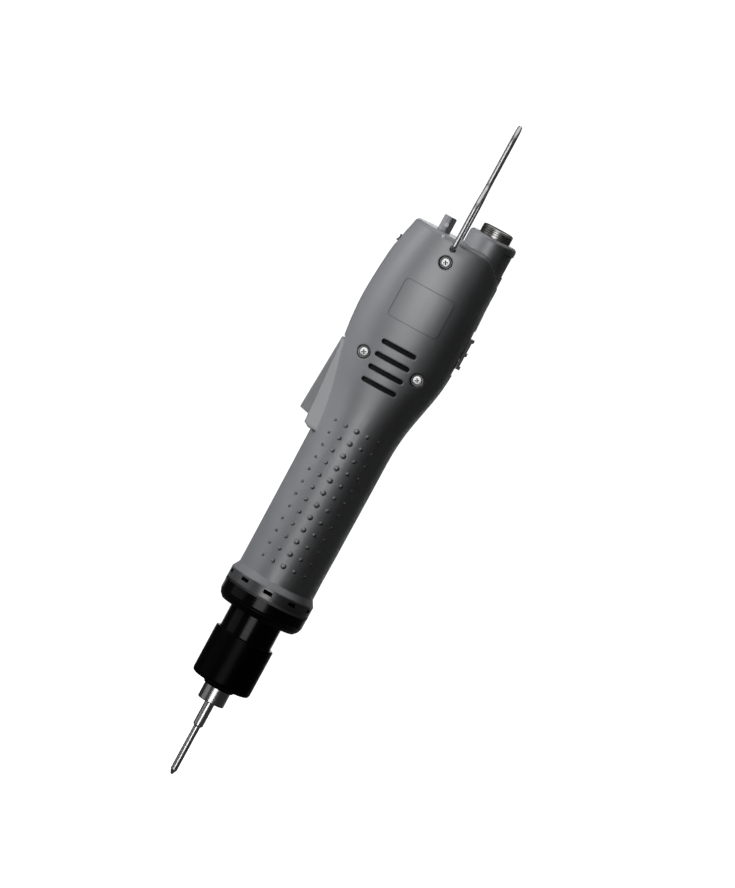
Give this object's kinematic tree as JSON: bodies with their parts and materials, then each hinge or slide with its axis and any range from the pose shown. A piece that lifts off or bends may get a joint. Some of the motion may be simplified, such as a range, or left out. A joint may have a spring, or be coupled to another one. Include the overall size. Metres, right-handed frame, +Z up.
{
  "type": "electric torque screwdriver",
  "caption": "In-line brushless electric screwdriver with torque ring, quick-release bit sleeve, start lever, direction slide, round cable connector and wire hanging bail.",
  "frame": {"origin": "tip of the bit, on the spindle axis", "axes": "+Z up the spindle axis from the bit to the cable end, +X to the direction slide and the cable connector, -X to the start lever, -Y to the side with the housing screws"},
  "size_m": [0.0571, 0.044, 0.3448],
  "materials": {
    "housing_grey": "fine moulded texture, satin",
    "black_plastic": "moulded, satin",
    "black_anodised": "black, satin",
    "polished_steel": "polished",
    "machined_steel": "turned or ground",
    "zinc_screw": "plated",
    "spring_steel": "drawn wire",
    "dial_grey": "moulded, satin",
    "copper_winding": "enamelled wire",
    "magnet_grey": "sintered",
    "board_green": "solder mask",
    "board_black": "moulded packages",
    "gold_contact": "plated contacts"
  },
  "bodies": {
    "housing": {"front_housing": "housing_grey", "rear_housing": "housing_grey", "housing_screws": "zinc_screw", "clutch_spring": "spring_steel", "clutch_washer": "machined_steel", "clutch_balls": "machined_steel", "gear_case": "black_anodised", "spindle_bearings": "machined_steel", "front_cap": "black_anodised", "air_ring": "housing_grey", "ring_gear": "machined_steel", "gearbox_plate": "machined_steel", "motor_can": "black_anodised", "motor_screws": "zinc_screw", "stator_core": "machined_steel", "stator_windings": "copper_winding", "motor_end_cap": "black_anodised", "rotor_bearings": "machined_steel", "hall_board": "board_green", "lever_pin": "machined_steel", "lever_spring": "spring_steel", "start_switch": "black_plastic", "direction_switch": "black_plastic", "speed_switch": "black_plastic", "speed_dial_body": "black_plastic", "connector_shell": "polished_steel", "connector_insert": "black_plastic", "connector_pins": "gold_contact", "side_cover": "housing_grey", "control_board": "board_green", "control_board_parts": "board_black"},
    "spindle": {"spindle": "machined_steel", "bit": "polished_steel", "lock_ball": "machined_steel", "sleeve_retaining_ring": "machined_steel", "output_planet_pins": "machined_steel", "sleeve_spring": "spring_steel"},
    "bit_sleeve": {"bit_sleeve": "polished_steel"},
    "spring_seat": {"spring_seat": "black_anodised"},
    "torque_ring": {"torque_ring": "black_anodised"},
    "input_carrier": {"input_carrier": "machined_steel", "input_planet_pins": "machined_steel"},
    "rotor": {"rotor_shaft": "machined_steel", "rotor_magnet": "magnet_grey", "motor_pinion": "machined_steel"},
    "start_lever": {"start_lever": "housing_grey"},
    "start_switch_plunger": {"start_switch_plunger": "black_plastic"},
    "direction_knob": {"direction_knob": "black_plastic"},
    "speed_knob": {"speed_knob": "black_plastic"},
    "speed_dial": {"speed_dial": "dial_grey"},
    "hanging_bail": {"hanging_bail": "polished_steel"},
    "output_planet_1": {"output_planet_1": "machined_steel"},
    "output_planet_2": {"output_planet_2": "machined_steel"},
    "output_planet_3": {"output_planet_3": "machined_steel"},
    "input_planet_1": {"input_planet_1": "machined_steel"},
    "input_planet_2": {"input_planet_2": "machined_steel"},
    "input_planet_3": {"input_planet_3": "machined_steel"}
  },
  "joints": [
    {"name": "rotor_spin", "type": "hinge", "parent": "housing", "child": "rotor", "pos_m": [0, 0, 0.1116], "axis": [0, 0, 1], "continuous": true},
    {"name": "input_carrier_spin", "type": "hinge", "parent": "housing", "child": "input_carrier", "pos_m": [0, 0, 0.10015], "axis": [0, 0, 1], "continuous": true},
    {"name": "spindle_spin", "type": "hinge", "parent": "housing", "child": "spindle", "pos_m": [0, 0, 0.09215], "axis": [0, 0, 1], "continuous": true},
    {"name": "input_planet_1_spin", "type": "hinge", "parent": "input_carrier", "child": "input_planet_1", "pos_m": [0.0084, 0, 0.10285], "axis": [0, 0, 1], "continuous": true},
    {"name": "input_planet_2_spin", "type": "hinge", "parent": "input_carrier", "child": "input_planet_2", "pos_m": [-0.0042, 0.00728, 0.10285], "axis": [0, 0, 1], "continuous": true},
    {"name": "input_planet_3_spin", "type": "hinge", "parent": "input_carrier", "child": "input_planet_3", "pos_m": [-0.0042, -0.00728, 0.10285], "axis": [0, 0, 1], "continuous": true},
    {"name": "output_planet_1_spin", "type": "hinge", "parent": "spindle", "child": "output_planet_1", "pos_m": [0.0084, 0, 0.09485], "axis": [0, 0, 1], "continuous": true},
    {"name": "output_planet_2_spin", "type": "hinge", "parent": "spindle", "child": "output_planet_2", "pos_m": [-0.0042, 0.00728, 0.09485], "axis": [0, 0, 1], "continuous": true},
    {"name": "output_planet_3_spin", "type": "hinge", "parent": "spindle", "child": "output_planet_3", "pos_m": [-0.0042, -0.00728, 0.09485], "axis": [0, 0, 1], "continuous": true},
    {"name": "bit_sleeve_slide", "type": "slide", "parent": "spindle", "child": "bit_sleeve", "axis": [0, 0, 1], "range_m": [0, 0.0025], "stiffness_N_per_m": 500, "springref_m": -0.003, "deforming": ["sleeve_spring"]},
    {"name": "spring_seat_slide", "type": "slide", "parent": "housing", "child": "spring_seat", "axis": [0, 0, 1], "range_m": [-0.003, 0.006], "deforming": ["clutch_spring"]},
    {"name": "torque_ring_turn", "type": "hinge", "parent": "spring_seat", "child": "torque_ring", "pos_m": [0, 0, 0.048], "axis": [0, 0, 1], "range_deg": [-720, 1440]},
    {"name": "start_lever_press", "type": "hinge", "parent": "housing", "child": "start_lever", "pos_m": [-0.022, 0, 0.2146], "axis": [0, -1, 0], "range_deg": [0, 6], "stiffness_Nm_per_rad": 0.3, "springref_deg": -17.19, "deforming": ["lever_spring"]},
    {"name": "start_plunger_slide", "type": "slide", "parent": "housing", "child": "start_switch_plunger", "axis": [1, 0, 0], "range_m": [0, 0.0024]},
    {"name": "direction_slide", "type": "slide", "parent": "housing", "child": "direction_knob", "axis": [0, 0, 1], "range_m": [-0.003, 0.003]},
    {"name": "speed_slide", "type": "slide", "parent": "housing", "child": "speed_knob", "axis": [0.2402, 0, 0.9707], "range_m": [-0.0012, 0.0012]},
    {"name": "speed_dial_turn", "type": "hinge", "parent": "housing", "child": "speed_dial", "pos_m": [-0.0091, 0, 0.2846], "axis": [0, 0, 1], "range_deg": [-150, 150]},
    {"name": "bail_swing", "type": "hinge", "parent": "housing", "child": "hanging_bail", "pos_m": [-0.0007, 0, 0.28], "axis": [0, 1, 0], "range_deg": [-90, 90]}
  ],
  "couplings": [
    {"joint": "input_carrier_spin", "follows": "rotor_spin", "ratio": 0.25},
    {"joint": "spindle_spin", "follows": "rotor_spin", "ratio": 0.0625},
    {"joint": "input_planet_1_spin", "follows": "rotor_spin", "ratio": -0.75},
    {"joint": "input_planet_2_spin", "follows": "rotor_spin", "ratio": -0.75},
    {"joint": "input_planet_3_spin", "follows": "rotor_spin", "ratio": -0.75},
    {"joint": "output_planet_1_spin", "follows": "rotor_spin", "ratio": -0.1875},
    {"joint": "output_planet_2_spin", "follows": "rotor_spin", "ratio": -0.1875},
    {"joint": "output_planet_3_spin", "follows": "rotor_spin", "ratio": -0.1875},
    {"joint": "spring_seat_slide", "follows": "torque_ring_turn", "m_per_rad": 0.0002387},
    {"joint": "start_plunger_slide", "follows": "start_lever_press", "m_per_rad": 0.0224}
  ]
}
